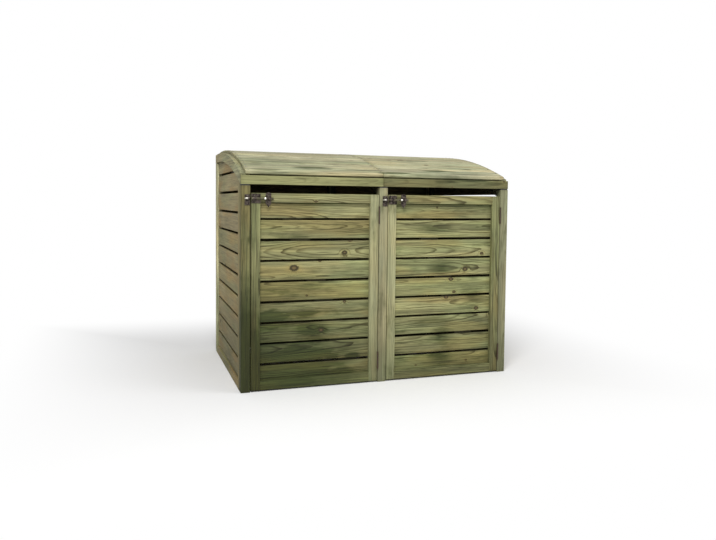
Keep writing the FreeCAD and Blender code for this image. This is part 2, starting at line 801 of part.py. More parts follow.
# Screws, one node for each moving body that they are driven into.
frame_spots = rear_holes + [spot for spots in post_spots.values() for spot in spots]
node("frame_screws", screws("frame_screws", frame_spots))
for side in DOORS:
    door_spots = door_leaf_screws(side, "door") + guide_screws(side)
    node(f"door_{side}_screws", screws(f"door_{side}_screws", door_spots))
    node(f"lid_{side}_screws", screws(f"lid_{side}_screws", lid_leaf_screws(side, "lid")))

doc.recompute()

for obj in doc.Objects:
    if {"Invalid", "Error"} & set(obj.State):
        raise RuntimeError(f"{obj.Name} failed: {obj.State}")
for name, obj in nodes.items():
    if obj.Shape.isNull() or not obj.Shape.isValid() or not obj.Shape.Solids:
        raise RuntimeError(f"{name} has no valid solid")

os.makedirs("parts", exist_ok=True)
for name, obj in nodes.items():
    obj.Shape.exportStep(f"parts/{name}.step")
whole = Part.makeCompound([obj.Shape for obj in nodes.values()]).BoundBox
print(len(nodes), "nodes", sum(len(obj.Shape.Solids) for obj in nodes.values()), "solids")
print("box", [round(v, 2) for v in (whole.XMin, whole.YMin, whole.ZMin, whole.XMax, whole.YMax, whole.ZMax)])
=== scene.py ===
import math
import random

import bpy
from mathutils import Euler, Matrix, Vector


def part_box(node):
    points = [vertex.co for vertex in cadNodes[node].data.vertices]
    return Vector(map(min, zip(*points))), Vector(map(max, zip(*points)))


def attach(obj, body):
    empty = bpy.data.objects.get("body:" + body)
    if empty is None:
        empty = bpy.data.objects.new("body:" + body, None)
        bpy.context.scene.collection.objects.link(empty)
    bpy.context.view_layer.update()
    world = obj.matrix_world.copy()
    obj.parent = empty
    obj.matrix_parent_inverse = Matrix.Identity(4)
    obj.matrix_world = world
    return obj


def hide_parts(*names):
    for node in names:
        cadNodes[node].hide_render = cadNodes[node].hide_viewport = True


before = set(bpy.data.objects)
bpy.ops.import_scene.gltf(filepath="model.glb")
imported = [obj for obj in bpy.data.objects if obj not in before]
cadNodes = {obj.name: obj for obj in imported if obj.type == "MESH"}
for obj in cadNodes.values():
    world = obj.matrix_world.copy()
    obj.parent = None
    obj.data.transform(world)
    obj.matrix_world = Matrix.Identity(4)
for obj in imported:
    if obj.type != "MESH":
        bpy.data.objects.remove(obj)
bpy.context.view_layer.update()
print("frame loaded with", len(cadNodes), "pieces")

# the store's front and its roof curve, as the frame has them
store = {
    "front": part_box("front_post_left")[0].y,
    "roofCentreBack": 0.880,
    "roofRadius": 2.550,
    "crest": 1.260,
    "boardThick": 0.018,
}
roofCentre = Vector((0, store["front"] + store["roofCentreBack"], store["crest"] - store["roofRadius"]))


# helpers for picking, joining and settling pieces
def pickOnly(*pieces):
    bpy.ops.object.select_all(action="DESELECT")
    for piece in pieces:
        piece.select_set(True)
    bpy.context.view_layer.objects.active = pieces[0]


def joinAs(name, pieces):
    pickOnly(*pieces)
    if len(pieces) > 1:
        bpy.ops.object.join()
    joined = bpy.context.view_layer.objects.active
    joined.name = joined.data.name = name
    return joined


def applyPlace(piece):
    pickOnly(piece)
    bpy.ops.object.transform_apply(location=True, rotation=True, scale=True)


def applyModifiers(piece):
    pickOnly(piece)
    for modifier in list(piece.modifiers):
        bpy.ops.object.modifier_apply(modifier=modifier.name)


def editMode(piece, pickMode):
    pickOnly(piece)
    bpy.context.tool_settings.mesh_select_mode = [kind == pickMode for kind in ("VERT", "EDGE", "FACE")]
    bpy.ops.object.mode_set(mode="EDIT")
    bpy.ops.mesh.select_all(action="DESELECT")


def pickEdges(piece, wanted):
    # leaves edit mode for the choice, because a mesh's own flags are only read on the way in
    bpy.ops.object.mode_set(mode="OBJECT")
    mesh = piece.data
    for edge in mesh.edges:
        start, end = (mesh.vertices[index].co for index in edge.vertices)
        edge.select = wanted(start, end)
    bpy.ops.object.mode_set(mode="EDIT")


def pickFaces(piece, wanted):
    bpy.ops.object.mode_set(mode="OBJECT")
    for face in piece.data.polygons:
        face.select = wanted(face.center, face.normal)
    bpy.ops.object.mode_set(mode="EDIT")


def copyOf(piece):
    twin = piece.copy()
    twin.data = piece.data.copy()
    bpy.context.scene.collection.objects.link(twin)
    return twin


def facing(along, across, origin):
    # place of a piece whose X runs along, Y across, and Z out of its face
    outward = Vector(along).cross(Vector(across))
    place = Matrix((along, across, outward)).transposed().to_4x4()
    place.translation = origin
    return place


# shader helpers
def wire(tree, kind, values=None, **settings):
    node = tree.nodes.new("ShaderNode" + kind)
    for name, value in settings.items():
        setattr(node, name, value)
    for key, value in (values or {}).items():
        if isinstance(value, bpy.types.NodeSocket):
            tree.links.new(value, node.inputs[key])
        else:
            node.inputs[key].default_value = value
    return node


def calc(tree, operation, *values, clamp=False):
    return wire(tree, "Math", dict(enumerate(values)), operation=operation, use_clamp=clamp).outputs[0]


def vectorCalc(tree, operation, *values):
    node = wire(tree, "VectorMath", dict(enumerate(values)), operation=operation)
    return node.outputs["Value" if operation in ("LENGTH", "DISTANCE", "DOT_PRODUCT") else "Vector"]


def fade(tree, value, low, high, start=0.0, end=1.0):
    return wire(tree, "MapRange", {0: value, 1: low, 2: high, 3: start, 4: end},
                interpolation_type="SMOOTHSTEP", clamp=True).outputs[0]


def speckle(tree, vector, stretch, detail=2.0, rough=0.5):
    stretched = vectorCalc(tree, "MULTIPLY", vector, stretch)
    return wire(tree, "TexNoise", {"Vector": stretched, "Scale": 1.0, "Detail": detail,
                                   "Roughness": rough}).outputs["Fac"]


def blendColour(tree, factor, first, second, mode="MIX"):
    return wire(tree, "Mix", {0: factor, 6: first, 7: second}, data_type="RGBA", blend_type=mode).outputs[2]


def tinted(tree, factor, colour, tint):
    # the colour multiplied by the tint, as far as the factor says
    return blendColour(tree, factor, colour, tint, "MULTIPLY")


# sawn softwood, worked out from where a point lies in its own board; a pair is a scale and a shift
grain = {
    "seedStride": (31.0, 17.0, 23.0),  # how far apart two boards lie in the same noise
    "knotCell": (0.34, 0.115, 1.0),  # room that one knot may have
    "knotStray": 0.85,  # at nought the knots would lie on a regular grid
    "knotSquash": 0.66,  # below 1, a knot is longer along the board
    "knotSize": 0.0035,
    "knotSpread": 0.0065,
    "knotRagged": (0.5, 0.75),
    "knotPush": 0.9,  # how far the rings bend round a knot
    "noKnot": 20.0,  # a distance in knot radii at which none is seen
    "ringWidth": 0.0026,
    "ringSpread": 0.0030,
    "ringUneven": (0.75, 0.25),
    "pithAside": 0.11,
    "pithBelow": 0.022,  # behind the middle of the board
    "pithSpread": 0.055,
    "lean": 0.075,
    "wander": 0.016,
    "drift": 0.0085,
    "ripple": 0.0042,
    "boardTone": (0.30, 0.85),
    "darkest": 0.25,
    "back": -0.5,  # below this share of the half thickness a point is on the back
    # how dark the boards' backs are painted, a painted shade
    "backShade": 0.55,
    "nailAcross": 0.55,  # of the half width
    "nailSquash": 1.6,
    "roughness": (0.22, 0.64),
    "shine": 0.25,
    "bump": 0.0011,
    "bumpStrength": 0.55,
}
figures = {  # noise in the wood: its shift, stretch, detail and roughness
    "knotEdge": (None, (160.0, 160.0, 160.0), 2.0, 0.5),
    "drift": (None, (3.2, 14.0, 14.0), 2.0, 0.5),
    "wander": (None, (2.1, 0.0, 0.0), 1.0, 0.5),
    "ripple": (None, (9.0, 46.0, 46.0), 2.0, 0.5),
    "streak": (None, (3.0, 120.0, 120.0), 4.0, 0.62),
    "band": ((3.0, 1.0, 7.0), (1.6, 24.0, 24.0), 3.0, 0.55),
    "fibre": (None, (16.0, 620.0, 620.0), 2.0, 0.5),
    "dash": ((1.0, 6.0, 2.0), (7.0, 210.0, 210.0), 2.0, 0.6),
    "crack": ((5.0, 3.0, 1.0), (2.6, 150.0, 60.0), 1.0, 0.5),
    "warm": (None, (2.2, 11.0, 11.0), 2.0, 0.5),
    "cool": ((9.0, 4.0, 2.0), (2.0, 9.0, 9.0), 2.0, 0.5),
    "cloud": (None, (3.4, 3.4, 4.6), 4.0, 0.55),
    "patch": ((2.0, 8.0, 5.0), (4.2, 17.0, 17.0), 4.0, 0.6),
}
fades = {  # where each change starts and ends, and its values there if they aren't 0 and 1
    "smallKnot": (0.020, 0.045, 0.45, 1.0),
    "knotCore": (0.7, 1.1, 1.0, 0.0),
    "knotRim": (0.95, 1.5, 1.0, 0.0),
    "knotInside": (0.35, 0.75, 0.85, 0.0),
    "knotHalo": (1.2, 3.2, 1.0, 0.0),
    "knotPush": (0.4, 3.6, 1.0, 0.0),
    "lateStart": (0.48, 0.90),
    "lateEnd": (0.93, 1.0, 1.0, 0.0),
    "dash": (0.54, 0.68),
    "crack": (0.755, 0.785),
    "warm": (0.44, 0.64),
    "cool": (0.46, 0.66),
    "mildew": (0.505, 0.66),
    "corner": (0.16, 0.74, 1.0, 0.0),
    "ground": (0.02, 0.45, 0.42, 0.0),
    "ends": (0.004, 0.040, 1.0, 0.0),
    "arrisHighlight": (0.0012, 0.0040, 1.0, 0.0),
    "sawn": (0.0002, 0.0011, 1.0, 0.0),
    "rust": (0.005, 0.020, 1.0, 0.0),
}
tints = {  # what each change multiplies the wood by; knot cores and rims turn to theirs
    "green": (0.97, 1.0, 0.92, 1.0),
    "warm": (1.12, 0.96, 0.82, 1.0),
    "cool": (0.86, 0.97, 0.93, 1.0),
    "damp": (0.20, 0.24, 0.15, 1.0),
    "ends": (0.56, 0.55, 0.47, 1.0),
    # painted highlight along the arrises
    "arrisHighlight": (1.20, 1.19, 1.16, 1.0),
    # painted shade for the edges between boards and for their backs
    "dirtAndShade": (0.16, 0.15, 0.11, 1.0),
    "knotHalo": (1.10, 0.98, 0.80, 1.0),
    "knotCore": (0.120, 0.080, 0.032, 1.0),
    "knotRim": (0.030, 0.024, 0.012, 1.0),
    "crack": (0.26, 0.24, 0.20, 1.0),
    "rust": (0.45, 0.43, 0.41, 1.0),
}
# how far the tints go
strengths = {"cool": 0.7, "mildew": 0.6, "ends": 0.5, "arrisHighlight": 0.6, "knotHalo": 0.45, "knotCore": 0.80,
             "knotRim": 0.90, "crack": 0.7, "rust": 0.6}
# the middle of each pattern and how far it lightens or darkens the wood, and the height of each in the bump
swings = {"streak": (0.5, 1.7), "band": (0.5, 1.2), "fibre": (0.5, 0.4), "dash": (0.15, -0.38)}
reliefs = {"late": 0.45, "streak": 0.5, "crack": -1.3, "knotCore": -0.4, "fibre": 0.40}
raggedBy = {"ends": 0.03, "arrisHighlight": 0.003, "rust": 0.010}  # how far streaks shift these fades, in metres
dampness = {
    "cornerX": (0.75, 0.5625),  # scale and shift that bring the left front corner to nought
    "cornerY": (0.45, 0.22),
    "waver": (0.50, -0.25),
    "cloud": 0.45,
    "patch": 0.55,
    "band": (1.3, 0.40),
}


def figure(tree, name, vector):
    shift, stretch, detail, rough = figures[name]
    if shift:
        vector = vectorCalc(tree, "ADD", vector, shift)
    return speckle(tree, vector, stretch, detail, rough)


def faded(tree, name, value):
    return fade(tree, value, *fades[name])


def lessened(tree, name, value):
    return calc(tree, "MULTIPLY", value, strengths[name])


def centred(tree, value, spread):
    # a chance from 0 to 1, spread evenly about nought
    return calc(tree, "MULTIPLY_ADD", value, spread, -spread / 2)


def buildTimberGroup():
    group = bpy.data.node_groups.new("sawnTimber", "ShaderNodeTree")
    sockets = {"Vector": "Spot Half Chance Place", "Color": "Light Dark",
               "Float": "Stain Nails Knots Marks Chosen Warm Rings Edges Backs Contrast"}
    for kind, names in sockets.items():
        for name in names.split():
            group.interface.new_socket(name, in_out="INPUT", socket_type="NodeSocket" + kind)
    for name, kind in (("Color", "Color"), ("Roughness", "Float"), ("Height", "Float")):
        group.interface.new_socket(name, in_out="OUTPUT", socket_type="NodeSocket" + kind)
    given = group.nodes.new("NodeGroupInput").outputs
    result = group.nodes.new("NodeGroupOutput")
    t = group

    spot = wire(t, "SeparateXYZ", {0: given["Spot"]}).outputs
    half = wire(t, "SeparateXYZ", {0: given["Half"]}).outputs
    luck = wire(t, "SeparateXYZ", {0: given["Chance"]}).outputs
    place = wire(t, "SeparateXYZ", {0: given["Place"]}).outputs
    seeded = vectorCalc(t, "MULTIPLY_ADD", given["Chance"], grain["seedStride"], given["Spot"])

    # knots: one may sit in each cell of a stretched grid, smaller in a narrow piece
    gridSpot = vectorCalc(t, "DIVIDE", seeded, grain["knotCell"])
    grid = wire(t, "TexVoronoi", {"Vector": gridSpot, "Scale": 1.0, "Randomness": grain["knotStray"]},
                voronoi_dimensions="2D")
    away = vectorCalc(t, "MULTIPLY", vectorCalc(t, "SUBTRACT", gridSpot, grid.outputs["Position"]),
                      grain["knotCell"])
    knotAway = vectorCalc(t, "LENGTH", vectorCalc(t, "MULTIPLY", away, (grain["knotSquash"], 1.0, 0.0)))
    knotLuck = wire(t, "SeparateColor", {0: grid.outputs["Color"]}).outputs
    hasKnot = calc(t, "LESS_THAN", knotLuck[0], given["Knots"])
    knotSize = calc(t, "MULTIPLY_ADD", knotLuck[1], grain["knotSpread"], grain["knotSize"])
    knotSize = calc(t, "MULTIPLY", knotSize, faded(t, "smallKnot", half[1]))
    gridRatio = calc(t, "ADD", calc(t, "DIVIDE", knotAway, knotSize),
                     calc(t, "MULTIPLY", calc(t, "SUBTRACT", 1.0, hasKnot), grain["noKnot"]))
    ragged = calc(t, "MULTIPLY_ADD", figure(t, "knotEdge", seeded), *grain["knotRagged"])
    knotRatio = calc(t, "MULTIPLY", calc(t, "MINIMUM", gridRatio, given["Chosen"]), ragged)
    knotCore = faded(t, "knotCore", knotRatio)
    knotRim = calc(t, "SUBTRACT", faded(t, "knotRim", knotRatio), faded(t, "knotInside", knotRatio))
    knotHalo = faded(t, "knotHalo", knotRatio)

    # growth rings about a pith that lies behind the face and wanders along the board
    drift = calc(t, "SUBTRACT", figure(t, "drift", seeded), 0.5)
    wander = calc(t, "SUBTRACT", figure(t, "wander", seeded), 0.5)
    lean = calc(t, "MULTIPLY", centred(t, luck[2], grain["lean"]), spot[0])
    ringY = calc(t, "SUBTRACT", spot[1], centred(t, luck[0], grain["pithAside"]))
    ringZ = calc(t, "ADD", spot[2], calc(t, "MULTIPLY_ADD", luck[1], grain["pithSpread"], grain["pithBelow"]))
    ringZ = calc(t, "ADD", ringZ, calc(t, "MULTIPLY_ADD", wander, grain["wander"], lean))
    reach = calc(t, "SQRT", calc(t, "ADD", calc(t, "MULTIPLY", ringY, ringY),
                                 calc(t, "MULTIPLY", ringZ, ringZ)))
    reach = calc(t, "MULTIPLY_ADD", drift, grain["drift"], reach)
    ripple = calc(t, "SUBTRACT", figure(t, "ripple", seeded), 0.5)
    reach = calc(t, "MULTIPLY_ADD", ripple, grain["ripple"], reach)
    reach = calc(t, "MULTIPLY_ADD", faded(t, "knotPush", knotRatio),
                 calc(t, "MULTIPLY", knotSize, grain["knotPush"]), reach)
    ringWidth = calc(t, "MULTIPLY_ADD", luck[1], grain["ringSpread"], grain["ringWidth"])
    turn = calc(t, "DIVIDE", reach, ringWidth)
    ring = calc(t, "FRACT", turn)
    ringLuck = wire(t, "TexWhiteNoise", {"W": calc(t, "FLOOR", turn)}, noise_dimensions="1D").outputs["Value"]
    late = calc(t, "MULTIPLY", faded(t, "lateStart", ring), faded(t, "lateEnd", ring))
    late = calc(t, "MULTIPLY", late, calc(t, "MULTIPLY_ADD", ringLuck, *grain["ringUneven"]))

    # streaks, bands, fibre and dashes lighten and darken the rings' two colours
    streak, band, fibre = (figure(t, name, seeded) for name in ("streak", "band", "fibre"))
    dash = faded(t, "dash", figure(t, "dash", seeded))
    crack = faded(t, "crack", figure(t, "crack", seeded))
    colour = blendColour(t, calc(t, "MULTIPLY", late, given["Rings"]), given["Light"], given["Dark"])
    shade = calc(t, "MULTIPLY_ADD", luck[2], *grain["boardTone"])
    for name, pattern in (("streak", streak), ("band", band), ("fibre", fibre), ("dash", dash)):
        middle, share = swings[name]
        swing = calc(t, "MULTIPLY", given["Contrast"], share)
        swing = calc(t, "MULTIPLY_ADD", calc(t, "SUBTRACT", pattern, middle), swing, 1.0)
        shade = calc(t, "MULTIPLY", shade, calc(t, "MAXIMUM", swing, grain["darkest"]))
    colour = blendColour(t, 1.0, colour, shade, "MULTIPLY")
    # some boards took the green treatment better than others
    colour = tinted(t, luck[0], colour, tints["green"])
    warm = calc(t, "MULTIPLY", faded(t, "warm", figure(t, "warm", seeded)), given["Warm"])
    colour = tinted(t, warm, colour, tints["warm"])
    cool = faded(t, "cool", figure(t, "cool", seeded))
    colour = tinted(t, lessened(t, "cool", cool), colour, tints["cool"])

    # mildew in patches of each board, and damp that climbs from the ground, most at the left front corner
    cloud = figure(t, "cloud", given["Place"])
    patch = calc(t, "MULTIPLY", figure(t, "patch", seeded), dampness["patch"])
    mildew = faded(t, "mildew", calc(t, "MULTIPLY_ADD", cloud, dampness["cloud"], patch))
    cornerSpot = wire(t, "CombineXYZ", {0: calc(t, "MULTIPLY_ADD", place[0], *dampness["cornerX"]),
                                        1: calc(t, "MULTIPLY_ADD", place[1], *dampness["cornerY"]),
                                        2: place[2]}).outputs[0]
    wavering = calc(t, "MULTIPLY_ADD", cloud, *dampness["waver"])
    corner = faded(t, "corner", calc(t, "ADD", vectorCalc(t, "LENGTH", cornerSpot), wavering))
    ground = faded(t, "ground", calc(t, "ADD", place[2], wavering))
    damp = calc(t, "ADD", calc(t, "MAXIMUM", corner, ground), lessened(t, "mildew", mildew))
    # the chosen marks lie on faces and edges only
    back = calc(t, "LESS_THAN", spot[2], calc(t, "MULTIPLY", half[2], grain["back"]))
    marks = calc(t, "MULTIPLY", given["Marks"], calc(t, "SUBTRACT", 1.0, back))
    # the marks also carry the painted shadow lines under the door top rails, so this damp tint paints that
    # shade too
    damp = calc(t, "MULTIPLY_ADD", damp, given["Stain"], marks)
    damp = calc(t, "MULTIPLY", damp, calc(t, "MULTIPLY_ADD", band, *dampness["band"]), clamp=True)
    colour = tinted(t, damp, colour, tints["damp"])

    # end grain drinks more, and the arrises get a painted highlight
    fromEnd = calc(t, "SUBTRACT", half[0], calc(t, "ABSOLUTE", spot[0]))
    ends = faded(t, "ends", calc(t, "MULTIPLY_ADD", streak, raggedBy["ends"], fromEnd))
    colour = tinted(t, lessened(t, "ends", ends), colour, tints["ends"])
    fromEdge = calc(t, "SUBTRACT", half[1], calc(t, "ABSOLUTE", spot[1]))
    fromRim = calc(t, "MINIMUM", fromEdge, fromEnd)
    arrisHighlight = faded(t, "arrisHighlight", calc(t, "MULTIPLY_ADD", streak, raggedBy["arrisHighlight"], fromRim))
    colour = tinted(t, lessened(t, "arrisHighlight", arrisHighlight), colour, tints["arrisHighlight"])

    # painted shade: the edges between boards and their backs are darkened, where shade falls in the gaps and
    # inside the store
    sawn = calc(t, "MULTIPLY", faded(t, "sawn", fromEdge), given["Edges"])
    hidden = calc(t, "MAXIMUM", sawn, calc(t, "MULTIPLY", back, given["Backs"]))
    colour = tinted(t, hidden, colour, tints["dirtAndShade"])

    colour = tinted(t, lessened(t, "knotHalo", knotHalo), colour, tints["knotHalo"])
    colour = blendColour(t, lessened(t, "knotCore", knotCore), colour, tints["knotCore"])
    colour = blendColour(t, lessened(t, "knotRim", knotRim), colour, tints["knotRim"])
    colour = tinted(t, lessened(t, "crack", crack), colour, tints["crack"])

    # dark marks round the nails, four to a board
    nailX = calc(t, "SUBTRACT", calc(t, "ABSOLUTE", spot[0]), calc(t, "SUBTRACT", half[0], given["Nails"]))
    nailY = calc(t, "MULTIPLY", half[1], grain["nailAcross"])
    nailY = calc(t, "SUBTRACT", calc(t, "ABSOLUTE", spot[1]), nailY)
    nailY = calc(t, "MULTIPLY", nailY, grain["nailSquash"])
    fromNail = vectorCalc(t, "LENGTH", wire(t, "CombineXYZ", {0: nailX, 1: nailY}).outputs[0])
    rust = faded(t, "rust", calc(t, "MULTIPLY_ADD", streak, raggedBy["rust"], fromNail))
    rust = calc(t, "MULTIPLY", rust, calc(t, "GREATER_THAN", given["Nails"], 0.0))
    colour = tinted(t, lessened(t, "rust", rust), colour, tints["rust"])

    rough = calc(t, "MULTIPLY_ADD", streak, *grain["roughness"])
    relief = calc(t, "MULTIPLY", fibre, reliefs["fibre"])
    for name, pattern in (("late", late), ("streak", streak), ("crack", crack), ("knotCore", knotCore)):
        relief = calc(t, "MULTIPLY_ADD", pattern, reliefs[name], relief)
    t.links.new(colour, result.inputs["Color"])
    t.links.new(rough, result.inputs["Roughness"])
    t.links.new(relief, result.inputs["Height"])
    return group


timberGroup = buildTimberGroup()

# light and dark wood of each part of the store, and how stained, knotty, warm and ringed it is
timberLooks = {
    "door": {"light": (0.262, 0.252, 0.120), "dark": (0.066, 0.056, 0.020), "stain": 1.0, "knots": 0.30,
             "warm": 0.8, "rings": 0.95, "contrast": 1.2},
    "post": {"light": (0.345, 0.322, 0.140), "dark": (0.120, 0.106, 0.034), "stain": 1.2, "knots": 0.20,
             "warm": 0.5, "rings": 0.7, "contrast": 1.2},
    "pale": {"light": (0.278, 0.268, 0.160), "dark": (0.115, 0.104, 0.050), "stain": 1.0, "knots": 0.12,
             "warm": 0.4, "rings": 0.6, "contrast": 0.75},
    "roof": {"light": (0.400, 0.378, 0.247), "dark": (0.150, 0.132, 0.070), "stain": 0.6, "knots": 0.16,
             "warm": 0.5, "rings": 0.8, "contrast": 1.4},
    "fascia": {"light": (0.245, 0.238, 0.110), "dark": (0.110, 0.100, 0.042), "stain": 0.8, "knots": 0.15,
               "warm": 0.5, "rings": 0.45, "contrast": 0.8},
    "rib": {"light": (0.265, 0.245, 0.150), "dark": (0.140, 0.124, 0.072), "stain": 0.9, "knots": 0.0,
            "warm": 0.6, "rings": 0.35, "contrast": 1.1},
    "side": {"light": (0.295, 0.248, 0.132), "dark": (0.180, 0.136, 0.068), "stain": 0.5, "knots": 0.15,
             "warm": 1.0, "rings": 0.35, "contrast": 0.75},
    # painted shade: the pieces inside the store get this dark copy of the wood for the shade that falls there
    "shadedInside": {"light": (0.105, 0.096, 0.056), "dark": (0.045, 0.039, 0.019), "stain": 0.9, "knots": 0.15,
               "warm": 0.6, "rings": 0.8, "contrast": 1.0},
}


def toned(colour, tone):
    return tuple(channel * tone for channel in colour) + (1.0,)


markEdge = {"along": 9.0, "across": 70.0, "detail": 3.0, "rough": 0.6, "swing": (1.5, -0.75),
            "core": 0.3, "end": 1.15}


def markField(tree, place, marks, axes):
    # dark patches at chosen places, ragged along the grain
    found = None
    spot = wire(tree, "SeparateXYZ", {0: place}).outputs
    stretch = [markEdge["across"]] * 3
    stretch[axes[0]] = markEdge["along"]
    ragged = speckle(tree, place, tuple(stretch), markEdge["detail"], markEdge["rough"])
    ragged = calc(tree, "MULTIPLY_ADD", ragged, *markEdge["swing"])
    for mark in marks:
        along, across = (calc(tree, "DIVIDE", calc(tree, "SUBTRACT", spot[axis], middle), reach)
                         for axis, middle, reach in zip(axes, mark["at"], mark["reach"]))
        away = vectorCalc(tree, "LENGTH", wire(tree, "CombineXYZ", {0: along, 1: across}).outputs[0])
        ratio = calc(tree, "ADD", away, calc(tree, "MULTIPLY", ragged, mark.get("ragged", 1.0)))
        patch = fade(tree, ratio, mark.get("core", markEdge["core"]), markEdge["end"], mark["dark"], 0.0)
        found = calc(tree, "MAXIMUM", found, patch) if found else patch
    return found


def knotField(tree, place, knots):
    # how far a point is from the nearest chosen knot, in knot radii
    found = None
    spot = wire(tree, "SeparateXYZ", {0: place}).outputs
    for x, z, size in knots:
        aside = calc(tree, "MULTIPLY", calc(tree, "SUBTRACT", spot[0], x), grain["knotSquash"])
        away = wire(tree, "CombineXYZ", {0: aside, 1: calc(tree, "SUBTRACT", spot[2], z)}).outputs[0]
        ratio = calc(tree, "DIVIDE", vectorCalc(tree, "LENGTH", away), size)
        found = calc(tree, "MINIMUM", found, ratio) if found else ratio
    return found


def timberMaterial(tree, look, spot, half, chance, nails=0.0, tone=1.0, marks=(), axes=(0, 2), knots=(),
                   edges=0.0, backs=0.0):
    place = wire(tree, "TexCoord").outputs["Object"]
    given = {
        "Spot": spot, "Half": half, "Chance": chance, "Place": place,
        "Light": toned(look["light"], tone), "Dark": toned(look["dark"], tone),
        "Stain": look["stain"], "Knots": look["knots"], "Warm": look["warm"], "Rings": look["rings"],
        "Contrast": look["contrast"], "Edges": edges, "Backs": backs, "Nails": nails,
        "Marks": markField(tree, place, marks, axes) if marks else 0.0,
        "Chosen": knotField(tree, place, knots) if knots else grain["noKnot"],
    }
    wood = wire(tree, "Group", given, node_tree=timberGroup).outputs
    bump = wire(tree, "Bump", {"Strength": grain["bumpStrength"], "Distance": grain["bump"],
                               "Height": wood["Height"]})
    shader = tree.nodes["Principled BSDF"]
    shader.inputs["Specular IOR Level"].default_value = grain["shine"]
    tree.links.new(wood["Color"], shader.inputs["Base Color"])
    tree.links.new(wood["Roughness"], shader.inputs["Roughness"])
    tree.links.new(bump.outputs[0], shader.inputs["Normal"])


def newMaterial(name):
    material = bpy.data.materials.new(name)
    material.use_nodes = True
    return material, material.node_tree


def boardMaterial(name, look, edges=1.0, **extras):
    # boards made here carry their own measure in attributes
    material, tree = newMaterial(name)
    spot, half, chance = (wire(tree, "Attribute", attribute_name=key).outputs["Vector"]
                          for key in ("boardSpot", "boardHalf", "boardChance"))
    timberMaterial(tree, timberLooks[look], spot, half, chance, edges=edges, backs=grain["backShade"],
                   **extras)
    return material


turns = {  # which way the grain runs in a piece, as the turn of its own frame
    "X": Euler((math.radians(90), 0, 0)),
    "Y": Matrix(((0, 0, -1), (-1, 0, 0), (0, 1, 0))).to_euler(),
    "Z": Matrix(((0, 1, 0), (0, 0, 1), (1, 0, 0))).to_euler(),
}


def nodeMaterial(nodeName, look, grainAxis, tone, seed, **extras):
    # a frame piece is one board, measured from its box
    material, tree = newMaterial(nodeName + "Wood")
    low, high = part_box(nodeName)
    size = high - low
    order = {"X": (size.x, size.z, size.y), "Y": (size.y, size.z, size.x), "Z": (size.z, size.x, size.y)}
    half = tuple(value / 2 for value in order[grainAxis])
    local = wire(tree, "Mapping", {"Vector": wire(tree, "TexCoord").outputs["Object"],
                                   "Location": (low + high) / 2, "Rotation": turns[grainAxis]},
                 vector_type="TEXTURE").outputs[0]
    luck = random.Random(seed)
    chance = tuple(luck.random() for _ in range(3))
    timberMaterial(tree, timberLooks[look], local, half, chance, tone=tone, **extras)
    return material


def dress(nodeName, material):
    mesh = cadNodes[nodeName].data
    mesh.materials.clear()
    mesh.materials.append(material)


frameTimber = {  # frame pieces that stay: look, grain direction and tone
    "front_post_left": ("post", "Z", 0.48), "front_post_centre": ("pale", "Z", 0.97),
    "front_post_right": ("pale", "Z", 0.67),
    # the inside pieces take the shaded look, a painted shade; the lower tones darken some of them further
    "rear_post_left": ("roof", "Z", 1.35), "rear_post_centre": ("shadedInside", "Z", 1.0),
    "rear_post_right": ("roof", "Z", 1.0),
    "left_front_stile": ("side", "Z", 0.95), "right_front_stile": ("side", "Z", 1.0),
    "left_bottom_rail": ("side", "Y", 1.0), "right_bottom_rail": ("side", "Y", 1.0),
    "side_fixing_battens": ("shadedInside", "Z", 1.0), "side_lid_rests": ("shadedInside", "Y", 1.0),
    "centre_lid_rest": ("shadedInside", "Y", 0.6), "rear_rails": ("shadedInside", "X", 0.6),
    "door_left_brace": ("shadedInside", "X", 0.8), "door_right_brace": ("shadedInside", "X", 0.8),
    "door_left_latch_stile": ("door", "Z", 0.62), "door_left_hinge_stile": ("pale", "Z", 1.0),
    "door_left_top_rail": ("door", "X", 0.85), "door_left_bottom_rail": ("door", "X", 1.0),
    "door_right_latch_stile": ("pale", "Z", 1.05), "door_right_hinge_stile": ("door", "Z", 0.76),
    "door_right_top_rail": ("door", "X", 0.75), "door_right_bottom_rail": ("door", "X", 0.9),
    "lid_left_outer_rib": ("rib", "Y", 1.0), "lid_left_inner_rib": ("shadedInside", "Y", 0.6),
    "lid_left_fascia": ("fascia", "X", 0.80), "lid_left_cross_rails": ("shadedInside", "X", 0.5),
    "lid_right_outer_rib": ("rib", "Y", 1.0), "lid_right_inner_rib": ("shadedInside", "Y", 0.6),
    "lid_right_fascia": ("fascia", "X", 0.56), "lid_right_cross_rails": ("shadedInside", "X", 0.5),
}
fasciaMarks = [
    {"at": (0.36, 1.072), "reach": (0.10, 0.010), "dark": 0.55},
    {"at": (0.52, 1.080), "reach": (0.14, 0.009), "dark": 0.70},
    {"at": (0.66, 1.066), "reach": (0.09, 0.012), "dark": 0.60},
]
frameSeed = 3
for seed, (nodeName, (look, grainAxis, tone)) in enumerate(frameTimber.items(), start=frameSeed):
    marks = fasciaMarks if nodeName == "lid_right_fascia" else ()
    dress(nodeName, nodeMaterial(nodeName, look, grainAxis, tone, seed, marks=marks))
print("frame timbers dressed:", len(frameTimber))


# boards
boardCut = {"arris": 0.0018, "arrisSteps": 2, "lengthCuts": 9, "widthCuts": 3, "smoothAngle": 30,
            "waver": 0.0012, "waverSize": 0.22, "waverMiddle": 0.75}


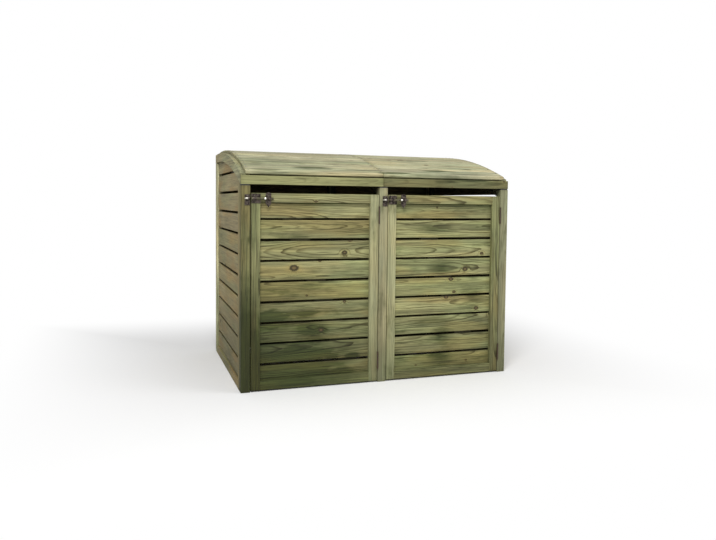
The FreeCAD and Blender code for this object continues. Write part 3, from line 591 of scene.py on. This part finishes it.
def sawBlank(length, width, thick):
    # a board lying along X with its good face up, ready to be copied
    bpy.ops.object.select_all(action="DESELECT")
    bpy.ops.mesh.primitive_cube_add(size=1)
    blank = bpy.context.active_object
    blank.scale = (length, width, thick)
    applyPlace(blank)
    editMode(blank, "EDGE")
    pickEdges(blank, lambda start, end: abs(start.x - end.x) > length / 2)
    bpy.ops.mesh.subdivide(number_cuts=boardCut["lengthCuts"])
    pickEdges(blank, lambda start, end: abs(start.y - end.y) > width / 2)
    bpy.ops.mesh.subdivide(number_cuts=boardCut["widthCuts"])
    bpy.ops.object.mode_set(mode="OBJECT")
    arris = blank.modifiers.new("arris", "BEVEL")
    arris.width, arris.segments, arris.limit_method = boardCut["arris"], boardCut["arrisSteps"], "ANGLE"
    applyModifiers(blank)
    return blank


def measureBoard(board, half, luck):
    # keeps each point's place in its own board, which the wood is worked out from
    mesh = board.data
    count = len(mesh.vertices)
    spots = [value for vertex in mesh.vertices for value in vertex.co]
    chance = [luck.random() for _ in range(3)]
    measures = {"boardSpot": spots, "boardHalf": list(half) * count, "boardChance": chance * count}
    for name, values in measures.items():
        mesh.attributes.new(name, "FLOAT_VECTOR", "POINT").data.foreach_set("vector", values)


def layBoards(blank, half, places, luck):
    boards = []
    for place in places:
        board = copyOf(blank)
        measureBoard(board, half, luck)
        board.matrix_world = place
        applyPlace(board)
        boards.append(board)
    return boards


def finishBoards(name, boards, material, node, body, waverBy=boardCut["waver"]):
    piece = joinAs(name, boards)
    waver = piece.modifiers.new("waver", "DISPLACE")
    cloud = bpy.data.textures.new(name + "Waver", "CLOUDS")
    cloud.noise_scale = boardCut["waverSize"]
    waver.texture, waver.texture_coords = cloud, "GLOBAL"
    waver.strength, waver.mid_level = waverBy, boardCut["waverMiddle"]
    applyModifiers(piece)
    bpy.ops.object.shade_smooth_by_angle(angle=math.radians(boardCut["smoothAngle"]))
    piece.data.materials.clear()
    piece.data.materials.append(material)
    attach(piece, body)
    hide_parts(node)


def discard(piece):
    bpy.data.objects.remove(piece, do_unlink=True)


luck = random.Random(41)  # drawn from in turn by all the boards
doorSlats = {"count": 9, "width": 0.0945, "unevenness": 0.0010}
doorMarks = [  # where mildew and heartwood darken the door slats; painted shadow lines under the top rails are added below
    {"at": (-0.19, 0.830), "reach": (0.10, 0.024), "dark": 0.30},
    {"at": (-0.36, 0.925), "reach": (0.36, 0.060), "dark": 0.16},
    {"at": (0.37, 0.925), "reach": (0.45, 0.065), "dark": 0.36},
    {"at": (0.30, 0.820), "reach": (0.15, 0.034), "dark": 0.75, "core": 0.1, "ragged": 0.8},
    {"at": (0.36, 0.600), "reach": (0.11, 0.050), "dark": 0.85, "core": 0.1, "ragged": 0.6},
    {"at": (-0.60, 0.370), "reach": (0.12, 0.045), "dark": 0.60},
    {"at": (-0.161, 0.150), "reach": (0.05, 0.020), "dark": 0.70},
    {"at": (-0.50, 0.140), "reach": (0.26, 0.075), "dark": 0.70},
    {"at": (-0.34, 0.055), "reach": (0.26, 0.040), "dark": 0.50},
    {"at": (-0.38, 0.300), "reach": (0.11, 0.050), "dark": 0.75, "core": 0.0, "ragged": 0.5},
    {"at": (-0.20, 0.195), "reach": (0.11, 0.060), "dark": 0.30, "core": 0.0, "ragged": 0.5},
    {"at": (0.556, 0.434), "reach": (0.09, 0.055), "dark": 0.65, "core": 0.0, "ragged": 0.5},
    {"at": (0.36, 0.230), "reach": (0.09, 0.060), "dark": 0.65, "core": 0.0, "ragged": 0.5},
    {"at": (0.36, 0.100), "reach": (0.10, 0.055), "dark": 0.55, "core": 0.0, "ragged": 0.5},
    {"at": (0.60, 0.820), "reach": (0.14, 0.050), "dark": 0.35, "core": 0.0, "ragged": 0.5},
    {"at": (0.30, 0.310), "reach": (0.16, 0.030), "dark": 0.45},
]
railShadow = {"below": 0.0015, "share": 0.58, "thick": 0.0055, "dark": 1.3, "core": 0.5, "ragged": 0.15}
for side in ("left", "right"):  # painted shadow lines under the top rails
    low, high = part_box(f"door_{side}_top_rail")
    doorMarks.append({"at": ((low.x + high.x) / 2, low.z - railShadow["below"]),
                      "reach": ((high.x - low.x) * railShadow["share"], railShadow["thick"]),
                      "dark": railShadow["dark"], "core": railShadow["core"], "ragged": railShadow["ragged"]})
doorKnots = [(-0.477, 0.618, 0.0135), (-0.340, 0.651, 0.0045), (0.499, 0.590, 0.0095), (0.602, 0.678, 0.0060),
             (0.433, 0.465, 0.0060), (0.573, 0.368, 0.0080), (-0.332, 0.292, 0.0085)]
doorWood = boardMaterial("doorSlatWood", "door", marks=doorMarks, knots=doorKnots)
for side in ("left", "right"):
    node = f"door_{side}_slats"
    low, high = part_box(node)
    size = high - low
    blank = sawBlank(size.x, doorSlats["width"], size.y)
    pitch = (size.z - doorSlats["width"]) / (doorSlats["count"] - 1)
    places = []
    for index in range(doorSlats["count"]):
        lift = luck.uniform(-1, 1) * doorSlats["unevenness"] * (0 < index < doorSlats["count"] - 1)
        centre = Vector(((low.x + high.x) / 2, (low.y + high.y) / 2,
                         low.z + doorSlats["width"] / 2 + index * pitch + lift))
        flip = luck.choice((1, -1))
        places.append(facing((flip, 0, 0), (0, 0, flip), centre))
    half = (size.x / 2, doorSlats["width"] / 2, size.y / 2)
    boards = layBoards(blank, half, places, luck)
    finishBoards(f"door{side.capitalize()}Slats", boards, doorWood, node, f"door_{side}")
    discard(blank)
print("door slats laid")

# close and straight enough to let no light in
rearSlats = {"count": 12, "gap": 0.0003, "trim": 0.0006, "waver": 0.0001}
rearWood = boardMaterial("rearSlatWood", "side")
low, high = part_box("rear_slats")
size = high - low
pitch = (size.z + rearSlats["gap"]) / rearSlats["count"]
rearWidth = pitch - rearSlats["gap"]
blank = sawBlank(size.x - rearSlats["trim"], rearWidth, size.y)
places = []
for index in range(rearSlats["count"]):
    centre = Vector((0, (low.y + high.y) / 2, low.z + rearWidth / 2 + index * pitch))
    places.append(facing((-1, 0, 0), (0, 0, 1), centre))
boards = layBoards(blank, (size.x / 2, rearWidth / 2, size.y / 2), places, luck)
finishBoards("rearSlats", boards, rearWood, "rear_slats", "store", rearSlats["waver"])
discard(blank)
rearPlaces = places
print("rear slats laid")

sideSlats = {"count": 11, "width": 0.095, "thick": 0.016, "unevenness": 0.0008, "sawn": 3, "curve": 2.4798,
             "clearance": 0.0004, "cuts": range(-24, 6), "cutAngle": 0.9}
sidePitch = {"left": 0.1074, "right": 0.1070}
sideWood = boardMaterial("sideSlatWood", "side", edges=0.3, nails=0.018)


def trimToCurve(board, radius):
    # cuts square to the roof circle's radii take the board's top off
    editMode(board, "VERT")
    for step in sideSlats["cuts"]:
        angle = math.radians(step * sideSlats["cutAngle"])
        outward = Vector((0, math.sin(angle), math.cos(angle)))
        bpy.ops.mesh.select_all(action="SELECT")
        bpy.ops.mesh.bisect(plane_co=roofCentre + outward * radius, plane_no=outward, use_fill=True,
                            clear_outer=True)
    bpy.ops.object.mode_set(mode="OBJECT")


for side, sign in (("left", -1), ("right", 1)):
    node = f"{side}_side_slats"
    low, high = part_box(node)
    size = high - low
    blank = sawBlank(size.y, sideSlats["width"], sideSlats["thick"])
    places = []
    for index in range(sideSlats["count"]):
        lift = luck.uniform(-1, 1) * sideSlats["unevenness"] * (0 < index)
        centre = Vector(((low.x + high.x) / 2, (low.y + high.y) / 2,
                         low.z + sideSlats["width"] / 2 + index * sidePitch[side] + lift))
        places.append(facing((0, sign, 0), (0, 0, 1), centre))
    half = (size.y / 2, sideSlats["width"] / 2, sideSlats["thick"] / 2)
    boards = layBoards(blank, half, places, luck)
    for board in boards[-sideSlats["sawn"]:]:
        trimToCurve(board, sideSlats["curve"] - sideSlats["clearance"])
    finishBoards(f"{side}SideSlats", boards, sideWood, node, "store")
    discard(blank)
print("side slats laid and trimmed")

roofBoards = {"count": 11, "gap": 0.0015, "setBack": 0.004, "depth": 1.0, "settle": 0.0007,
              "unevenness": 0.0005}
roofMarks = [
    {"at": (-0.376, -0.405), "reach": (0.125, 0.022), "dark": 0.95, "core": 0.4, "ragged": 1.0},
    {"at": (0.065, -0.463), "reach": (0.110, 0.020), "dark": 1.10, "core": 0.4, "ragged": 1.0},
    {"at": (0.352, -0.404), "reach": (0.115, 0.020), "dark": 0.95, "core": 0.4, "ragged": 1.0},
    {"at": (0.326, -0.150), "reach": (0.100, 0.040), "dark": 0.45},
    {"at": (-0.62, -0.455), "reach": (0.10, 0.030), "dark": 0.60},
    {"at": (-0.66, -0.340), "reach": (0.07, 0.060), "dark": 0.45},
    {"at": (0.50, -0.445), "reach": (0.22, 0.020), "dark": 0.50},
]
roofWood = boardMaterial("roofBoardWood", "roof", edges=0.2, nails=0.014, marks=roofMarks, axes=(0, 1))
firstAngle = math.asin((store["roofCentreBack"] - roofBoards["setBack"]) / store["roofRadius"])
lastAngle = math.asin((store["roofCentreBack"] - roofBoards["depth"]) / store["roofRadius"])
angleStep = (firstAngle - lastAngle) / roofBoards["count"]
roofWidth = 2 * store["roofRadius"] * math.tan(angleStep / 2) - roofBoards["gap"]
roofPlaces = {}
for side in ("left", "right"):
    node = f"lid_{side}_boards"
    low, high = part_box(node)
    length = high.x - low.x
    blank = sawBlank(length, roofWidth, store["boardThick"])
    places = []
    for index in range(roofBoards["count"]):
        angle = firstAngle - (index + 0.5) * angleStep
        outward = Vector((0, -math.sin(angle), math.cos(angle)))
        sink = store["boardThick"] / 2 + roofBoards["settle"] + luck.random() * roofBoards["unevenness"]
        centre = roofCentre + outward * (store["roofRadius"] - sink)
        centre.x = (low.x + high.x) / 2
        places.append(facing((1, 0, 0), (0, math.cos(angle), math.sin(angle)), centre))
    half = (length / 2, roofWidth / 2, store["boardThick"] / 2)
    boards = layBoards(blank, half, places, luck)
    finishBoards(f"lid{side.capitalize()}Boards", boards, roofWood, node, f"lid_{side}")
    roofPlaces[side] = places
    discard(blank)
print("roof boards laid")


# nails
nail = {
    "radius": 0.0034, "proud": 0.0006, "sides": 12,
    "across": 0.0262,  # from the middle line of a board
    "depth": 4, "sunk": 1.4, "dish": 0.5,  # times what stands proud
    "rim": 0.35,  # times the radius
    "roofInset": 0.014,
    "rearColumns": (-0.727, -0.004, 0.727), "rearFace": 0.008,
}


def makeNail():
    bpy.ops.object.select_all(action="DESELECT")
    bpy.ops.mesh.primitive_cylinder_add(vertices=nail["sides"], radius=nail["radius"],
                                        depth=nail["proud"] * nail["depth"])
    head = bpy.context.active_object
    editMode(head, "FACE")
    pickFaces(head, lambda centre, normal: normal.z > 0.9)
    bpy.ops.mesh.inset(thickness=nail["radius"] * nail["rim"], depth=nail["proud"] * nail["dish"])
    bpy.ops.object.mode_set(mode="OBJECT")
    return head


metalLooks = {  # bright and dull colour, roughness, wear and how metallic
    "nailZinc": {"bright": (0.30, 0.30, 0.29, 1), "dull": (0.10, 0.085, 0.07, 1), "rough": 0.45, "wear": 0.9,
                 "metallic": 1.0},
    "screwDull": {"bright": (0.16, 0.14, 0.12, 1), "dull": (0.05, 0.042, 0.034, 1), "rough": 0.42,
                  "wear": 0.8, "metallic": 1.0},
    "hingeBrown": {"bright": (0.050, 0.034, 0.022, 1), "dull": (0.085, 0.048, 0.028, 1), "rough": 0.55,
                   "wear": 0.8, "metallic": 0.4},
    "boltFitting": {"bright": (0.105, 0.084, 0.070, 1), "dull": (0.014, 0.011, 0.009, 1), "rough": 0.36,
                    "wear": 1.0, "metallic": 0.9},
    "boltSteel": {"bright": (0.17, 0.16, 0.10, 1), "dull": (0.06, 0.052, 0.036, 1), "rough": 0.30,
                  "wear": 0.9, "metallic": 1.0},
    "padRubber": {"bright": (0.020, 0.020, 0.018, 1), "dull": (0.045, 0.043, 0.036, 1), "rough": 0.70,
                  "wear": 0.6, "metallic": 0.0},
}
metalDirt = {  # two patterns, each with its stretch, detail and roughness
    "patch": ((90.0, 90.0, 90.0), 4.0, 0.6), "patchShare": 0.75,
    "fine": ((900.0, 900.0, 900.0), 2.0, 0.5), "fineShare": 0.25,
    "fade": (0.42, 0.62), "roughness": 0.28, "bump": 0.0004, "bumpStrength": 0.25,
}
paintedHighlights = {  # painted highlights: where the bolts' knob ends and their keeps' loops are painted bright
    "knob": (0.0270, 0.0240),  # how far ahead of the posts the knobs' bright ends lie
    "keepAside": 0.026, "keepBelow": 0.006,  # from the bolt's left end and its top to the keep's loop
    "aside": (0.005, 0.009, 1.0, 0.0),
    "rise": (0.002, 0.005, 1.0, 0.0),
    "knobColour": (0.80, 0.78, 0.72, 1),
    "keepColour": (0.62, 0.60, 0.52, 1),
}


def metalMaterial(name):
    look = metalLooks[name]
    material, tree = newMaterial(name)
    place = wire(tree, "TexCoord").outputs["Object"]
    patch = speckle(tree, place, *metalDirt["patch"])
    fine = speckle(tree, place, *metalDirt["fine"])
    mixed = calc(tree, "ADD", calc(tree, "MULTIPLY", patch, metalDirt["patchShare"]),
                 calc(tree, "MULTIPLY", fine, metalDirt["fineShare"]))
    dirtAndShade = fade(tree, mixed, *metalDirt["fade"])
    colour = blendColour(tree, calc(tree, "MULTIPLY", dirtAndShade, look["wear"]), look["bright"], look["dull"])
    shader = tree.nodes["Principled BSDF"]
    shader.inputs["Metallic"].default_value = look["metallic"]
    tree.links.new(colour, shader.inputs["Base Color"])
    tree.links.new(calc(tree, "MULTIPLY_ADD", dirtAndShade, metalDirt["roughness"], look["rough"]),
                   shader.inputs["Roughness"])
    bump = wire(tree, "Bump", {"Strength": metalDirt["bumpStrength"], "Distance": metalDirt["bump"],
                               "Height": mixed})
    tree.links.new(bump.outputs[0], shader.inputs["Normal"])
    return material


def paintHighlight(material, measure, bright):
    # paints a highlight into the metal's colour where the measure says
    tree = material.node_tree
    spot = wire(tree, "SeparateXYZ", {0: wire(tree, "TexCoord").outputs["Object"]}).outputs
    colour = tree.nodes["Principled BSDF"].inputs["Base Color"]
    tree.links.new(blendColour(tree, measure(tree, spot), colour.links[0].from_socket, bright), colour)


# painted highlight on the knobs' ends, which face the front
def knobHighlight(tree, spot):
    start, end = (store["front"] - ahead for ahead in paintedHighlights["knob"])
    return fade(tree, spot[1], start, end, 1.0, 0.0)


# painted highlight on the left end of each keep's loop
def keepHighlight(tree, spot):
    bright = 0.0
    for side in ("left", "right"):
        low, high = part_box(f"bolt_{side}")
        aside = calc(tree, "ABSOLUTE", calc(tree, "SUBTRACT", spot[0], low.x - paintedHighlights["keepAside"]))
        rise = calc(tree, "ABSOLUTE", calc(tree, "SUBTRACT", spot[2], high.z - paintedHighlights["keepBelow"]))
        loop = calc(tree, "MULTIPLY", fade(tree, aside, *paintedHighlights["aside"]), fade(tree, rise, *paintedHighlights["rise"]))
        bright = calc(tree, "MAXIMUM", bright, loop)
    return bright


metals = {name: metalMaterial(name) for name in metalLooks}
# painted highlights on the knobs and on the keeps' loops
paintHighlight(metals["boltSteel"], knobHighlight, paintedHighlights["knobColour"])
paintHighlight(metals["boltFitting"], keepHighlight, paintedHighlights["keepColour"])


def metalOf(nodeName):
    if nodeName.endswith("screws"):
        return "screwDull"
    if nodeName.endswith(("leaves", "pins")):
        return "hingeBrown"
    if nodeName == "post_pads":
        return "padRubber"
    if nodeName in ("bolt_left", "bolt_right"):
        return "boltSteel"
    return "boltFitting" if "bolt" in nodeName else None


for nodeName in cadNodes:
    if metalOf(nodeName):
        dress(nodeName, metals[metalOf(nodeName)])
print("metal and rubber dressed")


def driveNails(name, body, places):
    heads = []
    for place in places:
        head = copyOf(nailHead)
        head.matrix_world = place @ Matrix.Translation((0, 0, nail["proud"] * -nail["sunk"]))
        applyPlace(head)
        heads.append(head)
    piece = joinAs(name, heads)
    piece.data.materials.clear()
    piece.data.materials.append(metals["nailZinc"])
    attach(piece, body)


nailHead = makeNail()
for side in ("left", "right"):
    low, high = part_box(f"lid_{side}_boards")
    reach = (high.x - low.x) * 0.5
    spots = []
    for place in roofPlaces[side]:
        for along in (-reach + nail["roofInset"], reach - nail["roofInset"]):
            for across in (-nail["across"], nail["across"]):
                spots.append(place @ Matrix.Translation((along, across, store["boardThick"] / 2)))
    driveNails(f"lid{side.capitalize()}Nails", f"lid_{side}", spots)
spots = []
for place in rearPlaces:
    for along in nail["rearColumns"]:
        for across in (-nail["across"], nail["across"]):
            spots.append(place @ Matrix.Translation((along, across, nail["rearFace"])))
driveNails("rearNails", "store", spots)
discard(nailHead)
print("nails driven")


# floor, light and camera
floorLook = {"size": 60, "below": 0.0005, "colour": (0.90, 0.90, 0.90, 1), "rough": 0.9,
             "shadowHalf": (0.75, 0.52), "fade": (0.02, 1.3)}
worldStrength = 0.42
lamps = {
    "keyLamp": {"size": 2.2, "power": 190, "spot": (-1.6, -3.6, 4.2), "target": (0, 0, 0.7)},
    "fillLamp": {"size": 3.0, "power": 60, "spot": (3.4, -2.6, 2.4), "target": (0, 0, 0.6)},
}


def makeFloor():
    bpy.ops.object.select_all(action="DESELECT")
    bpy.ops.mesh.primitive_plane_add(size=floorLook["size"])
    floor = bpy.context.active_object
    floor.name = "floor"
    floor.location.z = -floorLook["below"]
    applyPlace(floor)
    material, tree = newMaterial("paleFloor")
    shader = tree.nodes["Principled BSDF"]
    shader.inputs["Base Color"].default_value = floorLook["colour"]
    shader.inputs["Roughness"].default_value = floorLook["rough"]
    shader.inputs["Specular IOR Level"].default_value = 0.0
    # the camera sees the floor turn white a little way out from the store
    seen = wire(tree, "LightPath").outputs["Is Camera Ray"]
    spot = wire(tree, "SeparateXYZ", {0: wire(tree, "TexCoord").outputs["Object"]}).outputs
    outside = [calc(tree, "SUBTRACT", calc(tree, "ABSOLUTE", spot[axis]), floorLook["shadowHalf"][axis])
               for axis in (0, 1)]
    far = calc(tree, "MULTIPLY", fade(tree, calc(tree, "MAXIMUM", *outside), *floorLook["fade"]), seen)
    white = wire(tree, "Emission", {"Color": (1, 1, 1, 1), "Strength": 1.0})
    mixed = wire(tree, "MixShader", {0: far, 1: shader.outputs[0], 2: white.outputs[0]})
    tree.links.new(mixed.outputs[0], tree.nodes["Material Output"].inputs["Surface"])
    floor.data.materials.append(material)


def makeWorld():
    world = bpy.data.worlds.new("studio")
    bpy.context.scene.world = world
    world.use_nodes = True
    tree = world.node_tree
    path = wire(tree, "LightPath").outputs
    mirrored = calc(tree, "MAXIMUM", path["Is Glossy Ray"], path["Is Transmission Ray"])
    seen = calc(tree, "MAXIMUM", path["Is Camera Ray"], mirrored)
    level = calc(tree, "MULTIPLY_ADD", seen, 1.0 - worldStrength, worldStrength)
    background = tree.nodes["Background"]
    background.inputs["Color"].default_value = (1, 1, 1, 1)
    tree.links.new(level, background.inputs["Strength"])


def makeLamp(name):
    given = lamps[name]
    lamp = bpy.data.lights.new(name, "AREA")
    lamp.shape, lamp.size, lamp.energy = "DISK", given["size"], given["power"]
    holder = bpy.data.objects.new(name, lamp)
    bpy.context.scene.collection.objects.link(holder)
    holder.location = given["spot"]
    aim = Vector(given["target"]) - Vector(given["spot"])
    holder.rotation_euler = aim.to_track_quat("-Z", "Y").to_euler()


makeFloor()
makeWorld()
for name in lamps:
    makeLamp(name)

camera = {"yaw": 19.081, "pitch": 2.951, "roll": -0.601, "lens": 33.159, "sensor": 36,
          "spot": (-1.2654, -3.24432, 0.95703), "shift": (0.0005, -0.0476)}


def makeCamera():
    yaw, pitch, roll = (math.radians(camera[key]) for key in ("yaw", "pitch", "roll"))
    ahead = Vector((math.sin(yaw) * math.cos(pitch), math.cos(yaw) * math.cos(pitch), -math.sin(pitch)))
    right = Vector((math.cos(yaw), -math.sin(yaw), 0))
    down = ahead.cross(right)
    levelRight = right * math.cos(roll) + down * math.sin(roll)
    levelDown = down * math.cos(roll) - right * math.sin(roll)
    data = bpy.data.cameras.new("camera")
    data.lens, data.sensor_width = camera["lens"], camera["sensor"]
    data.shift_x, data.shift_y = camera["shift"]
    holder = bpy.data.objects.new("camera", data)
    bpy.context.scene.collection.objects.link(holder)
    place = Matrix((levelRight, -levelDown, -ahead)).transposed().to_4x4()
    place.translation = Vector(camera["spot"]) + Vector((0, store["front"], 0))
    holder.matrix_world = place
    bpy.context.scene.camera = holder


makeCamera()
bpy.context.scene.view_settings.view_transform = "Standard"

# nothing is left selected, and the active piece is one that stays
pickOnly(cadNodes["front_post_left"])
bpy.ops.object.select_all(action="DESELECT")
print("scene ready")
